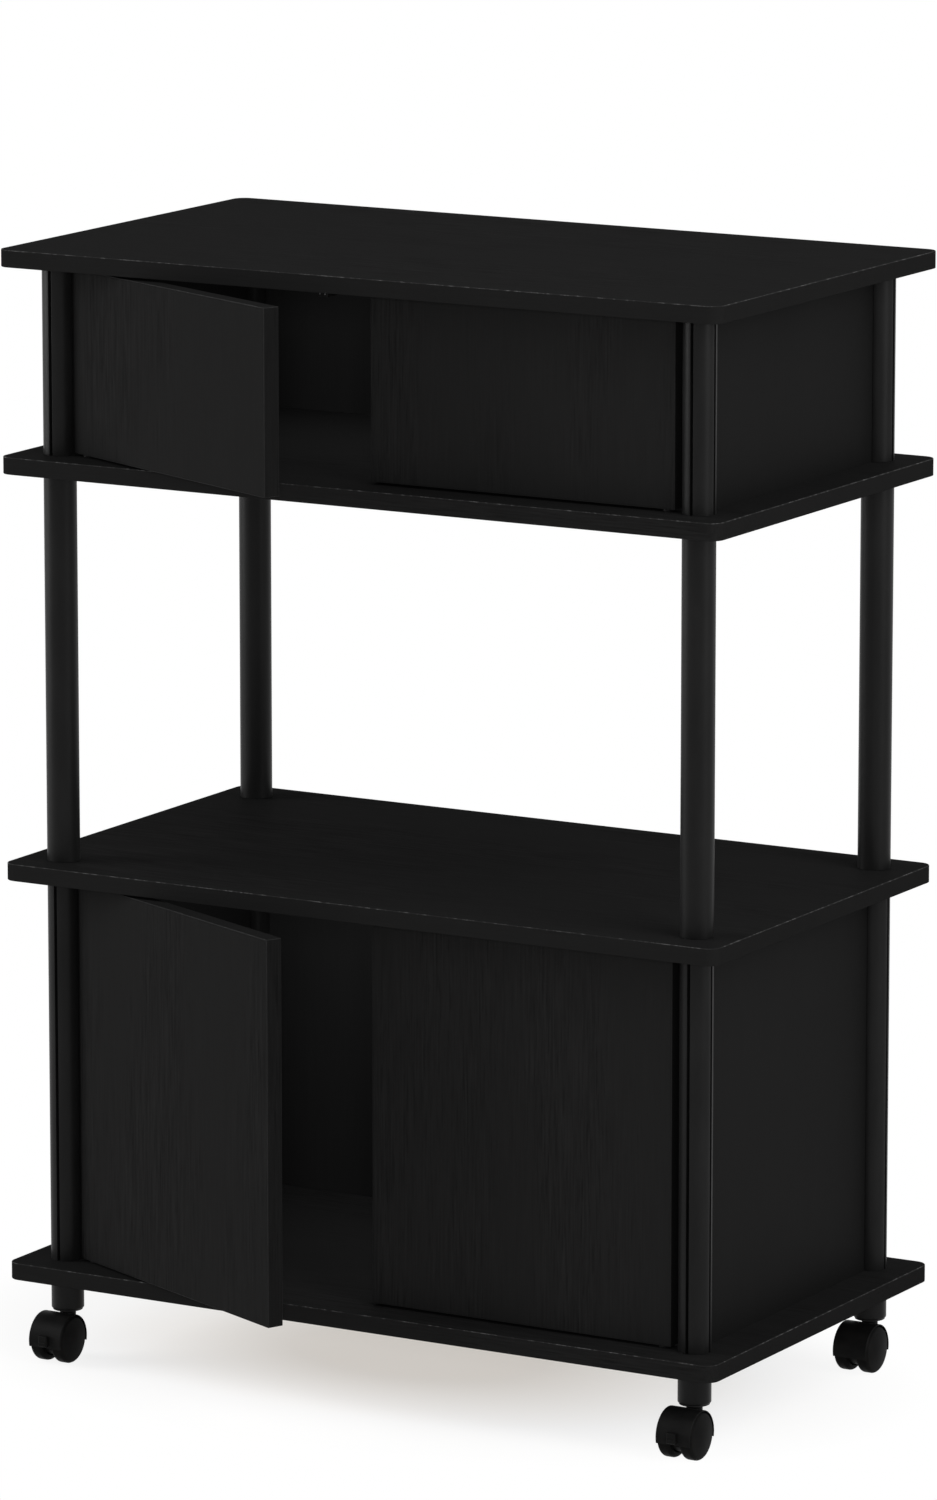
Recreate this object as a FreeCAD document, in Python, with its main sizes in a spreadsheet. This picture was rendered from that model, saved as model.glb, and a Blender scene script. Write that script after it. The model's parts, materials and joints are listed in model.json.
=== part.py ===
import FreeCAD, Part
import os
import Sketcher

# Kitchen storage cart: four boards on four rows of posts, a cabinet with two doors above
# and another below an open bay, and a twin-wheel caster under each leg.
# Origin: on the floor under the centre of the boards. X to the right, front towards -Y, Z up.

doc = FreeCAD.newDocument("StorageCart")
sheet = doc.addObject("Spreadsheet::Sheet", "Sizes")

driving_sizes = [
    # boards
    ("board_length", 700),
    ("board_depth", 400),
    ("board_thick", 15),
    ("board_corner_radius", 12),
    ("board_edge_round", 0.6),
    # heights, from the floor up
    ("caster_height", 43.5),
    ("leg_length", 30.5),
    ("lower_post_length", 341),
    ("middle_tube_length", 341),
    ("upper_post_length", 164),
    # posts and tubes
    ("tube_radius", 14.3),
    ("tube_wall", 1.5),
    ("post_inset_x", 38),
    ("post_inset_y", 39.5),
    ("post_bore_radius", 6.5),
    ("slot_width", 2.8),
    ("slot_depth", 5.5),
    # panels held in the slots
    ("panel_thick", 2.5),
    ("panel_end_gap", 0.3),
    # studs and sockets that join posts through the boards
    ("thread_radius", 4),
    ("fit_gap", 0.05),
    ("running_gap", 0.05),
    ("plug_length", 18),
    ("socket_length", 20),
    ("stud_reach", 11),
    ("board_hole_gap", 0.25),
    ("top_stud_sink", 10),
    # doors
    ("door_thick", 15),
    ("door_end_gap", 2.3),
    ("door_post_gap", 4.7),
    ("door_meeting_gap", 4.8),
    ("door_edge_round", 0.6),
    ("pivot_inset", 10),
    ("door_rest_angle", 24.7),
    # door pins and their bushes
    ("pin_radius", 2.5),
    ("pin_reach", 7.5),
    ("pin_root_radius", 3),
    ("pin_root_length", 12),
    ("pin_flange_radius", 4.5),
    ("pin_flange_gap", 0.2),
    ("bush_radius", 4),
    ("bush_length", 8),
    # catches under the boards and strike plates on the doors
    ("catch_offset", 54),
    ("catch_width", 10),
    ("catch_depth", 26),
    ("catch_height", 11),
    ("catch_round", 1),
    ("catch_peg_radius", 2.5),
    ("catch_peg_length", 9),
    ("strike_width", 14),
    ("strike_height", 8),
    ("strike_thick", 1),
    ("strike_top_gap", 0.6),
    ("strike_gap", 0.3),
    ("strike_spike_radius", 1.5),
    ("strike_spike_length", 8),
    # casters
    ("wheel_radius", 20.8),
    ("caster_width", 36.6),
    ("caster_trail", 16.7),
    ("wheel_dome", 2.2),
    ("wheel_edge_round", 3.6),
    ("wheel_recess_depth", 5),
    ("wheel_rim_wall", 4.5),
    ("wheel_hub_radius", 5),
    ("wheel_cap_thick", 2.5),
    ("web_thick", 8),
    ("web_gap", 0.5),
    ("web_radius", 15),
    ("hood_gap", 0.5),
    ("hood_wall", 0.9),
    ("hood_lip", 0.3),
    ("hood_skirt_drop", 4.8),
    ("hood_edge_round", 0.8),
    ("boss_radius", 7),
    ("boss_length", 15),
    ("axle_radius", 2),
    ("axle_end_gap", 0.5),
    ("stem_radius", 2.8),
    ("stem_drop", 18),
    ("stem_collar_radius", 5),
    ("stem_collar_thick", 0.7),
    ("stem_collar_gap", 0.1),
    ("stem_shank_radius", 4),
    ("stem_shank_length", 14),
    ("insert_flange_thick", 1.2),
    ("insert_flange_inset", 1.2),
    # brake levers of the front casters
    ("lever_pivot_back", 10),
    ("lever_pivot_drop", 2),
    ("lever_pin_radius", 1.2),
    ("lever_arm_width", 3.4),
    ("lever_arm_height", 4),
    ("lever_side_gap", 0.3),
    ("lever_heel", 2.5),
    ("lever_heel_gap", 0.8),
    ("lever_tab_width", 8.5),
    ("lever_tab_height", 9.5),
    ("lever_tab_rise", 4),
    ("lever_tab_thick", 3),
    ("lever_tab_gap", 0.5),
    ("lever_tab_round", 1),
    ("lever_travel_room", 4),
    # every cutter runs past the face it opens by this much
    ("overrun", 3),
]

for row, (alias, value) in enumerate(driving_sizes, start=1):
    sheet.set(f"A{row}", alias)
    sheet.set(f"B{row}", str(value))
    sheet.setAlias(f"B{row}", alias)
doc.recompute()

# Places shared by several pieces, as expressions on the sheet.
post_x = "(Sizes.board_length / 2 - Sizes.post_inset_x)"
post_y = "(Sizes.board_depth / 2 - Sizes.post_inset_y)"
tube_bore = "(Sizes.tube_radius - Sizes.tube_wall)"
slot_floor = "(Sizes.tube_radius - Sizes.slot_depth)"

bottom_board_z = "(Sizes.caster_height + Sizes.leg_length)"
lower_deck_z = f"({bottom_board_z} + Sizes.board_thick)"
middle_shelf_z = f"({lower_deck_z} + Sizes.lower_post_length)"
bay_floor_z = f"({middle_shelf_z} + Sizes.board_thick)"
upper_shelf_z = f"({bay_floor_z} + Sizes.middle_tube_length)"
upper_deck_z = f"({upper_shelf_z} + Sizes.board_thick)"
top_board_z = f"({upper_deck_z} + Sizes.upper_post_length)"

hinge_edge_x = f"({post_x} - Sizes.tube_radius - Sizes.door_post_gap)"
pivot_x = f"({hinge_edge_x} - Sizes.pivot_inset)"
door_width = f"({hinge_edge_x} - Sizes.door_meeting_gap / 2)"
door_back_y = f"({post_y} - Sizes.door_thick / 2)"
catch_front_y = f"({door_back_y} - Sizes.strike_thick - Sizes.strike_gap)"
catch_peg_y = f"({catch_front_y} - Sizes.catch_depth / 2)"

wheel_room = "(Sizes.wheel_radius + Sizes.hood_gap)"
hood_radius = f"({wheel_room} + Sizes.hood_wall)"
wheel_inner_x = "(Sizes.web_thick / 2 + Sizes.web_gap)"
hood_width = "(Sizes.caster_width - 2 * Sizes.wheel_dome + 2 * Sizes.hood_lip)"
boss_top_z = "(Sizes.caster_height - Sizes.stem_collar_thick - Sizes.stem_collar_gap)"

corners = [
    ("front_left", -1, -1),
    ("front_right", 1, -1),
    ("back_left", -1, 1),
    ("back_right", 1, 1),
]
along_x = FreeCAD.Rotation(FreeCAD.Vector(0, 1, 0), 90)
upright = FreeCAD.Rotation()

parts = {}


def number(expression):
    """The value of an expression on the sheet."""
    return float(sheet.evalExpression(expression))


def signed(sign, expression):
    return f"({expression})" if sign > 0 else f"(-({expression}))"


def locate(item, x="0", y="0", z="0", rotation=upright):
    """Binds an object's place to the sheet."""
    item.Placement = FreeCAD.Placement(FreeCAD.Vector(0, 0, 0), rotation)
    for direction, expression in (("x", x), ("y", y), ("z", z)):
        item.setExpression(f"Placement.Base.{direction}", expression)
    return item


def keep(node, item):
    """Takes an object as the finished sub-part of that name."""
    item.Label = node
    parts[node] = item
    return item


def add_box(name, length, width, height, x="0", y="0", z="0"):
    item = doc.addObject("Part::Box", name)
    item.setExpression("Length", length)
    item.setExpression("Width", width)
    item.setExpression("Height", height)
    return locate(item, x, y, z)


def add_cylinder(name, radius, height, x="0", y="0", z="0", rotation=upright):
    item = doc.addObject("Part::Cylinder", name)
    item.setExpression("Radius", radius)
    item.setExpression("Height", height)
    return locate(item, x, y, z, rotation)


def add_cross_rod(name, radius, length, x, y="0", z="0"):
    """A cylinder along X that starts at x."""
    return add_cylinder(name, radius, length, x, y, z, along_x)


def add_fuse(name, members):
    item = doc.addObject("Part::MultiFuse", name)
    item.Shapes = members
    return item


def add_cut(name, base, tools):
    item = doc.addObject("Part::Cut", name)
    item.Base = base
    item.Tool = tools[0] if len(tools) == 1 else add_fuse(f"{name}_tools", tools)
    return item


def add_group(name, members):
    item = doc.addObject("Part::Compound", name)
    item.Links = members
    return item


def add_rounding(name, base, radius, wanted):
    """Rounds the edges of base that wanted picks out."""
    doc.recompute()
    item = doc.addObject("Part::Fillet", name)
    item.Base = base
    size = number(radius)
    item.Edges = [(i, size, size) for i, edge in enumerate(base.Shape.Edges, start=1) if wanted(edge)]
    return item


def origin_feature(body, role):
    return next(f for f in body.Origin.OriginFeatures if f.Role == role)


def add_sketch(body, name, plane="XY_Plane", offset=None):
    """A sketch on a plane of its own body, raised by offset along the plane's normal."""
    sketch = body.newObject("Sketcher::SketchObject", name)
    sketch.AttachmentSupport = [(origin_feature(body, plane), "")]
    sketch.MapMode = "FlatFace"
    if offset is not None:
        sketch.setExpression("AttachmentOffset.Base.z", offset)
    return sketch


def add_dimension(sketch, kind, points, expression):
    """A named sketch constraint bound to the sheet."""
    index = sketch.addConstraint(Sketcher.Constraint(kind, *points, number(expression)))
    name = f"size_{index}"
    sketch.renameConstraint(index, name)
    sketch.setExpression(f"Constraints.{name}", expression)


def fix_point(sketch, geometry, position, x, y):
    """Holds a point of the sketch at (x, y) from its origin."""
    for kind, axis, expression in (("DistanceX", -2, x), ("DistanceY", -1, y)):
        value = number(expression)
        if value == 0:
            sketch.addConstraint(Sketcher.Constraint("PointOnObject", geometry, position, axis))
        elif value > 0:
            add_dimension(sketch, kind, (-1, 1, geometry, position), expression)
        else:
            add_dimension(sketch, kind, (geometry, position, -1, 1), f"-({expression})")


def draw_outline(sketch, corner_places):
    """A closed outline of straight lines through corners given as pairs of expressions."""
    count = len(corner_places)
    places = [FreeCAD.Vector(number(x), number(y), 0) for x, y in corner_places]
    for i in range(count):
        sketch.addGeometry(Part.LineSegment(places[i], places[(i + 1) % count]))
    for i in range(count):
        sketch.addConstraint(Sketcher.Constraint("Coincident", i, 2, (i + 1) % count, 1))
    for i, (x, y) in enumerate(corner_places):
        fix_point(sketch, i, 1, x, y)


def draw_rectangle(sketch, left, right, low, high):
    draw_outline(sketch, [(left, low), (right, low), (right, high), (left, high)])


def draw_circle(sketch, radius, x="0", y="0"):
    centre = FreeCAD.Vector(number(x), number(y), 0)
    geometry = sketch.addGeometry(Part.Circle(centre, FreeCAD.Vector(0, 0, 1), number(radius)))
    add_dimension(sketch, "Radius", (geometry,), radius)
    fix_point(sketch, geometry, 3, x, y)


def add_pad(body, name, sketch, length):
    pad = body.newObject("PartDesign::Pad", name)
    pad.Profile = sketch
    pad.setExpression("Length", length)
    doc.recompute()
    return pad


def add_pocket(body, name, sketch, depth=None, reverse=False):
    """A pocket of a given depth, or right through; reverse drills along the plane's normal."""
    pocket = body.newObject("PartDesign::Pocket", name)
    pocket.Profile = sketch
    pocket.Reversed = reverse
    if depth is None:
        pocket.Type = "ThroughAll"
    else:
        pocket.setExpression("Length", depth)
    volume_before = pocket.BaseFeature.Shape.Volume
    doc.recompute()
    if not pocket.Shape.Volume < volume_before:
        raise RuntimeError(f"pocket {name} cuts nothing")
    return pocket


def add_body_fillet(body, name, base, radius, wanted):
    names = [f"Edge{i}" for i, edge in enumerate(base.Shape.Edges, start=1) if wanted(edge)]
    fillet = body.newObject("PartDesign::Fillet", name)
    fillet.Base = (base, names)
    fillet.setExpression("Radius", radius)
    doc.recompute()
    return fillet


def is_upright(edge):
    return abs(edge.tangentAt(edge.FirstParameter).z) > 0.9


def is_level(edge):
    return not is_upright(edge)


# Boards.
def make_board(node, level, studs_through, pins_from_above):
    """One board: studs pass through it or are sunk in its underside, and door pins turn in one face."""
    body = doc.addObject("PartDesign::Body", node)
    half_length = "Sizes.board_length / 2"
    half_depth = "Sizes.board_depth / 2"
    outline = add_sketch(body, f"{node}_outline")
    draw_rectangle(outline, f"-{half_length}", half_length, f"-{half_depth}", half_depth)
    slab = add_pad(body, f"{node}_slab", outline, "Sizes.board_thick")
    rounded = add_body_fillet(body, f"{node}_corners", slab, "Sizes.board_corner_radius", is_upright)
    add_body_fillet(body, f"{node}_edges", rounded, "Sizes.board_edge_round", is_level)

    stud_holes = add_sketch(body, f"{node}_stud_holes")
    for _, side, end in corners:
        stud_hole = "Sizes.thread_radius + Sizes.board_hole_gap"
        draw_circle(stud_holes, stud_hole, signed(side, post_x), signed(end, post_y))
    sink = None if studs_through else "Sizes.top_stud_sink + Sizes.board_hole_gap"
    add_pocket(body, f"{node}_stud_bores", stud_holes, sink, reverse=True)

    height = "Sizes.board_thick" if pins_from_above else None
    pin_holes = add_sketch(body, f"{node}_pin_holes", offset=height)
    for side in (-1, 1):
        pin_hole = "Sizes.bush_radius + Sizes.fit_gap"
        draw_circle(pin_holes, pin_hole, signed(side, pivot_x), signed(-1, post_y))
    add_pocket(body, f"{node}_pin_bores", pin_holes, "Sizes.bush_length", reverse=not pins_from_above)

    if not pins_from_above:
        peg_holes = add_sketch(body, f"{node}_peg_holes")
        for side in (-1, 1):
            peg_hole = "Sizes.catch_peg_radius + Sizes.fit_gap"
            draw_circle(peg_holes, peg_hole, signed(side, "Sizes.catch_offset"), signed(-1, catch_peg_y))
        peg_depth = "Sizes.catch_peg_length + Sizes.board_hole_gap"
        add_pocket(body, f"{node}_peg_bores", peg_holes, peg_depth, reverse=True)
    locate(body, z=level)
    keep(node, body)


make_board("bottom_board", bottom_board_z, studs_through=True, pins_from_above=True)
make_board("middle_shelf", middle_shelf_z, studs_through=True, pins_from_above=False)
make_board("upper_shelf", upper_shelf_z, studs_through=True, pins_from_above=True)
make_board("top_board", top_board_z, studs_through=False, pins_from_above=False)


# Posts and tubes.
def make_post(node, length, bore, x, y, z, slotted):
    """A round tube; a slotted one has four grooves down its full length, a quarter turn apart."""
    body = doc.addObject("PartDesign::Body", node)
    ring = add_sketch(body, f"{node}_ring")
    draw_circle(ring, "Sizes.tube_radius")
    draw_circle(ring, bore)
    add_pad(body, f"{node}_wall", ring, length)
    if slotted:
        slot = add_sketch(body, f"{node}_slot")
        half_slot = "Sizes.slot_width / 2"
        outside = "Sizes.tube_radius + Sizes.overrun"
        draw_rectangle(slot, slot_floor, outside, f"-{half_slot}", half_slot)
        groove = add_pocket(body, f"{node}_groove", slot, reverse=True)
        pattern = body.newObject("PartDesign::PolarPattern", f"{node}_grooves")
        pattern.Originals = [groove]
        pattern.Axis = (origin_feature(body, "Z_Axis"), [""])
        pattern.Angle = 360
        pattern.Occurrences = 4
        body.Tip = pattern
    return locate(body, x, y, z)


leg_tube_length = "(Sizes.leg_length - Sizes.insert_flange_thick)"
leg_tube_z = "(Sizes.caster_height + Sizes.insert_flange_thick)"
leg_tubes = []
for place, side, end in corners:
    x = signed(side, post_x)
    y = signed(end, post_y)
    lower = f"lower_post_{place}"
    middle = f"middle_tube_{place}"
    upper = f"upper_post_{place}"
    post_bore = "Sizes.post_bore_radius"
    keep(lower, make_post(lower, "Sizes.lower_post_length", post_bore, x, y, lower_deck_z, True))
    keep(middle, make_post(middle, "Sizes.middle_tube_length", tube_bore, x, y, bay_floor_z, False))
    keep(upper, make_post(upper, "Sizes.upper_post_length", post_bore, x, y, upper_deck_z, True))
    leg_tubes.append(make_post(f"leg_tube_{place}", leg_tube_length, tube_bore, x, y, leg_tube_z, False))
keep("leg_tubes", add_group("leg_tubes", leg_tubes))


# Studs and sockets.
def make_stud(name, x, y, board_z, plug_radius):
    """A plug in the tube above a board, with a shank that screws into the tube below it."""
    shank_length = "Sizes.board_thick + Sizes.stud_reach"
    shank_radius = "Sizes.thread_radius - Sizes.fit_gap"
    shank = add_cylinder(f"{name}_shank", shank_radius, shank_length, x, y, f"{board_z} - Sizes.stud_reach")
    plug_z = f"{board_z} + Sizes.board_thick"
    plug = add_cylinder(f"{name}_plug", plug_radius, "Sizes.plug_length", x, y, plug_z)
    return add_fuse(name, [shank, plug])


def make_socket(name, x, y, tube_top_z, outer_radius):
    """A threaded sleeve pressed into the upper end of a tube."""
    z = f"{tube_top_z} - Sizes.socket_length"
    sleeve = add_cylinder(f"{name}_sleeve", outer_radius, "Sizes.socket_length", x, y, z)
    bore_length = "Sizes.socket_length + 2 * Sizes.overrun"
    bore = add_cylinder(f"{name}_bore", "Sizes.thread_radius", bore_length, x, y, f"{z} - Sizes.overrun")
    return add_cut(name, sleeve, [bore])


post_plug = "(Sizes.post_bore_radius - Sizes.fit_gap)"
tube_plug = f"({tube_bore} - Sizes.fit_gap)"
board_studs = []
tube_sockets = []
top_studs = []
for place, side, end in corners:
    x = signed(side, post_x)
    y = signed(end, post_y)
    board_studs.append(make_stud(f"bottom_stud_{place}", x, y, bottom_board_z, post_plug))
    board_studs.append(make_stud(f"middle_stud_{place}", x, y, middle_shelf_z, tube_plug))
    board_studs.append(make_stud(f"upper_stud_{place}", x, y, upper_shelf_z, post_plug))
    tube_sockets.append(make_socket(f"lower_socket_{place}", x, y, middle_shelf_z, post_plug))
    tube_sockets.append(make_socket(f"middle_socket_{place}", x, y, upper_shelf_z, tube_plug))
    tube_sockets.append(make_socket(f"upper_socket_{place}", x, y, top_board_z, post_plug))
    top_radius = "Sizes.thread_radius - Sizes.fit_gap"
    top_length = "Sizes.top_stud_sink + Sizes.stud_reach"
    top_z = f"{top_board_z} - Sizes.stud_reach"
    top_studs.append(add_cylinder(f"top_stud_{place}", top_radius, top_length, x, y, top_z))
keep("board_studs", add_group("board_studs", board_studs))
keep("tube_sockets", add_group("tube_sockets", tube_sockets))
keep("top_studs", add_group("top_studs", top_studs))


# Panels slid into the post slots.
def make_side_panel(node, side, post_length, deck_z):
    reach = f"({post_y} - {slot_floor} - Sizes.panel_end_gap)"
    x = f"{signed(side, post_x)} - Sizes.panel_thick / 2"
    height = f"{post_length} - Sizes.panel_end_gap"
    keep(node, add_box(node, "Sizes.panel_thick", f"2 * {reach}", height, x, f"-{reach}", deck_z))


def make_back_panel(node, post_length, deck_z):
    reach = f"({post_x} - {slot_floor} - Sizes.panel_end_gap)"
    y = f"{post_y} - Sizes.panel_thick / 2"
    height = f"{post_length} - Sizes.panel_end_gap"
    keep(node, add_box(node, f"2 * {reach}", "Sizes.panel_thick", height, f"-{reach}", y, deck_z))


cabinets = [
    ("upper", "Sizes.upper_post_length", upper_deck_z),
    ("lower", "Sizes.lower_post_length", lower_deck_z),
]
for cabinet, post_length, deck_z in cabinets:
    make_side_panel(f"{cabinet}_left_panel", -1, post_length, deck_z)
    make_side_panel(f"{cabinet}_right_panel", 1, post_length, deck_z)
    make_back_panel(f"{cabinet}_back_panel", post_length, deck_z)


# Doors. A door is drawn about its pivot axis, with its free edge towards +X, and then turned.
open_turn = FreeCAD.Rotation(FreeCAD.Vector(0, 0, -1), number("Sizes.door_rest_angle"))
about_face = FreeCAD.Rotation(FreeCAD.Vector(0, 0, 1), 180)
strike_x = f"({pivot_x} - Sizes.catch_offset)"
strike_drop = "(Sizes.strike_top_gap + Sizes.strike_height / 2)"


def hang(item, left, z="0"):
    """Puts something drawn in a door's own frame on that door as it stands at rest."""
    locate(item, signed(-1 if left else 1, pivot_x), signed(-1, post_y), z, open_turn if left else about_face)
    if left:
        item.setExpression("Placement.Rotation.Angle", "Sizes.door_rest_angle")
    return item


def make_door(node, left, post_length, deck_z):
    body = doc.addObject("PartDesign::Body", node)
    height = f"({post_length} - 2 * Sizes.door_end_gap)"
    half_thick = "Sizes.door_thick / 2"
    outline = add_sketch(body, f"{node}_outline")
    free_edge = f"{door_width} - Sizes.pivot_inset"
    draw_rectangle(outline, "-Sizes.pivot_inset", free_edge, f"-{half_thick}", half_thick)
    slab = add_pad(body, f"{node}_slab", outline, height)
    add_body_fillet(body, f"{node}_edges", slab, "Sizes.door_edge_round", lambda edge: True)

    bore_radius = "Sizes.pin_root_radius + Sizes.fit_gap"
    bore_depth = "Sizes.pin_root_length + Sizes.fit_gap"
    low_hole = add_sketch(body, f"{node}_low_hole")
    draw_circle(low_hole, bore_radius)
    add_pocket(body, f"{node}_low_bore", low_hole, bore_depth, reverse=True)
    high_hole = add_sketch(body, f"{node}_high_hole", offset=height)
    draw_circle(high_hole, bore_radius)
    add_pocket(body, f"{node}_high_bore", high_hole, bore_depth)

    # the spike bore opens in the inner face, which is +Y in the left door's own frame
    spike_offset = signed(-1 if left else 1, half_thick)
    spike_hole = add_sketch(body, f"{node}_spike_hole", "XZ_Plane", spike_offset)
    draw_circle(spike_hole, "Sizes.strike_spike_radius + Sizes.fit_gap", strike_x, f"{height} - {strike_drop}")
    spike_depth = "Sizes.strike_spike_length + Sizes.fit_gap"
    add_pocket(body, f"{node}_spike_bore", spike_hole, spike_depth, reverse=left)
    hang(body, left, f"{deck_z} + Sizes.door_end_gap")
    keep(node, body)


def make_pin(name, z, upside_down):
    """A flanged pin: a root pressed into the door, a flange in the gap and a journal in the bush."""
    flange_thick = "(Sizes.door_end_gap - Sizes.pin_flange_gap)"
    journal_length = "(Sizes.pin_reach + Sizes.pin_flange_gap)"
    journal = add_cylinder(f"{name}_journal", "Sizes.pin_radius", journal_length, z="-Sizes.pin_reach")
    flange = add_cylinder(f"{name}_flange", "Sizes.pin_flange_radius", flange_thick, z="Sizes.pin_flange_gap")
    root = add_cylinder(f"{name}_root", "Sizes.pin_root_radius", "Sizes.pin_root_length", z="Sizes.door_end_gap")
    pin = add_fuse(name, [journal, flange, root])
    turn = FreeCAD.Rotation(FreeCAD.Vector(1, 0, 0), 180) if upside_down else upright
    return locate(pin, z=z, rotation=turn)


def make_door_pins(node, left, post_length, deck_z):
    low_pin = make_pin(f"{node}_low", "0", False)
    high_pin = make_pin(f"{node}_high", post_length, True)
    pins = add_group(node, [low_pin, high_pin])
    keep(node, hang(pins, left, deck_z))


def make_strike(node, left, post_length, deck_z):
    """A plate on the door's inner face, with a spike into the door."""
    inward = -1 if not left else 1
    centre_z = f"({post_length} - Sizes.door_end_gap - {strike_drop})"
    plate_x = f"{strike_x} - Sizes.strike_width / 2"
    plate_y = "Sizes.door_thick / 2" if left else "-Sizes.door_thick / 2 - Sizes.strike_thick"
    plate_z = f"{centre_z} - Sizes.strike_height / 2"
    plate = add_box(f"{node}_plate", "Sizes.strike_width", "Sizes.strike_thick", "Sizes.strike_height",
                    plate_x, plate_y, plate_z)
    point = FreeCAD.Rotation(FreeCAD.Vector(1, 0, 0), 90 * inward)
    spike_y = signed(inward, "Sizes.door_thick / 2")
    spike = add_cylinder(f"{node}_spike", "Sizes.strike_spike_radius", "Sizes.strike_spike_length",
                         strike_x, spike_y, centre_z, point)
    keep(node, hang(add_fuse(node, [plate, spike]), left, deck_z))


for cabinet, post_length, deck_z in cabinets:
    for hand in ("left", "right"):
        left = hand == "left"
        make_door(f"{cabinet}_{hand}_door", left, post_length, deck_z)
        make_door_pins(f"{cabinet}_{hand}_door_pins", left, post_length, deck_z)
        make_strike(f"{cabinet}_{hand}_strike_plate", left, post_length, deck_z)


# Bushes for the door pins, flush with the boards above and below each door.
def make_bush(name, x, z):
    y = signed(-1, post_y)
    sleeve = add_cylinder(f"{name}_sleeve", "Sizes.bush_radius", "Sizes.bush_length", x, y, z)
    bore_radius = "Sizes.pin_radius + Sizes.running_gap"
    bore_length = "Sizes.bush_length + 2 * Sizes.overrun"
    bore = add_cylinder(f"{name}_bore", bore_radius, bore_length, x, y, f"{z} - Sizes.overrun")
    return add_cut(name, sleeve, [bore])


pin_bushes = []
for cabinet, post_length, deck_z in cabinets:
    for hand, side in (("left", -1), ("right", 1)):
        x = signed(side, pivot_x)
        pin_bushes.append(make_bush(f"{cabinet}_{hand}_low_bush", x, f"({deck_z} - Sizes.bush_length)"))
        pin_bushes.append(make_bush(f"{cabinet}_{hand}_high_bush", x, f"({deck_z} + {post_length})"))
keep("pin_bushes", add_group("pin_bushes", pin_bushes))


# Catches: a housing behind each closed door, pegged into the board above it.
def make_catch(name, side, ceiling_z):
    x = signed(side, "Sizes.catch_offset")
    housing = add_box(f"{name}_block", "Sizes.catch_width", "Sizes.catch_depth", "Sizes.catch_height",
                      f"{x} - Sizes.catch_width / 2", signed(-1, catch_front_y),
                      f"{ceiling_z} - Sizes.catch_height")
    rounded = add_rounding(f"{name}_housing", housing, "Sizes.catch_round", is_upright)
    # the peg starts one rounding below the top of the housing, so that the two are one solid
    peg = add_cylinder(f"{name}_peg", "Sizes.catch_peg_radius", "Sizes.catch_peg_length + Sizes.catch_round",
                       x, signed(-1, catch_peg_y), f"{ceiling_z} - Sizes.catch_round")
    return add_fuse(name, [rounded, peg])


door_catches = []
for cabinet, post_length, deck_z in cabinets:
    for hand, side in (("left", -1), ("right", 1)):
        door_catches.append(make_catch(f"{cabinet}_{hand}_catch", side, f"({deck_z} + {post_length})"))
keep("door_catches", add_group("door_catches", door_catches))


# Casters. A caster is drawn about its swivel axis, on the floor, with its wheels trailing towards -Y.
def make_wheel(name):
    """A wheel to the right of the web: domed outer face, recessed inner face, blind axle bore."""
    rim = add_cross_rod(f"{name}_rim", "Sizes.wheel_radius",
                        f"Sizes.caster_width / 2 - {wheel_inner_x}", wheel_inner_x)
    dome_radius = "(Sizes.wheel_radius ^ 2 + Sizes.wheel_dome ^ 2) / (2 * Sizes.wheel_dome)"
    ball = doc.addObject("Part::Sphere", f"{name}_ball")
    ball.setExpression("Radius", dome_radius)
    locate(ball, f"Sizes.caster_width / 2 - {dome_radius}")
    domed = doc.addObject("Part::Common", f"{name}_domed")
    domed.Base = rim
    domed.Tool = ball
    rounded = add_rounding(f"{name}_rounded", domed, "Sizes.wheel_edge_round",
                           lambda edge: edge.BoundBox.YLength > number("Sizes.wheel_radius"))
    hollow_start = f"({wheel_inner_x} - Sizes.overrun)"
    hollow_length = "Sizes.wheel_recess_depth + Sizes.overrun"
    hollow = add_cross_rod(f"{name}_hollow", "Sizes.wheel_radius - Sizes.wheel_rim_wall",
                           hollow_length, hollow_start)
    hub = add_cross_rod(f"{name}_hub", "Sizes.wheel_hub_radius",
                        f"{hollow_length} + 2 * Sizes.overrun", f"{hollow_start} - Sizes.overrun")
    recess = add_cut(f"{name}_recess", hollow, [hub])
    bore_length = f"Sizes.caster_width / 2 - Sizes.wheel_cap_thick - {hollow_start}"
    bore = add_cross_rod(f"{name}_bore", "Sizes.axle_radius + Sizes.running_gap", bore_length, hollow_start)
    return add_cut(name, rounded, [recess, bore])


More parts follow.
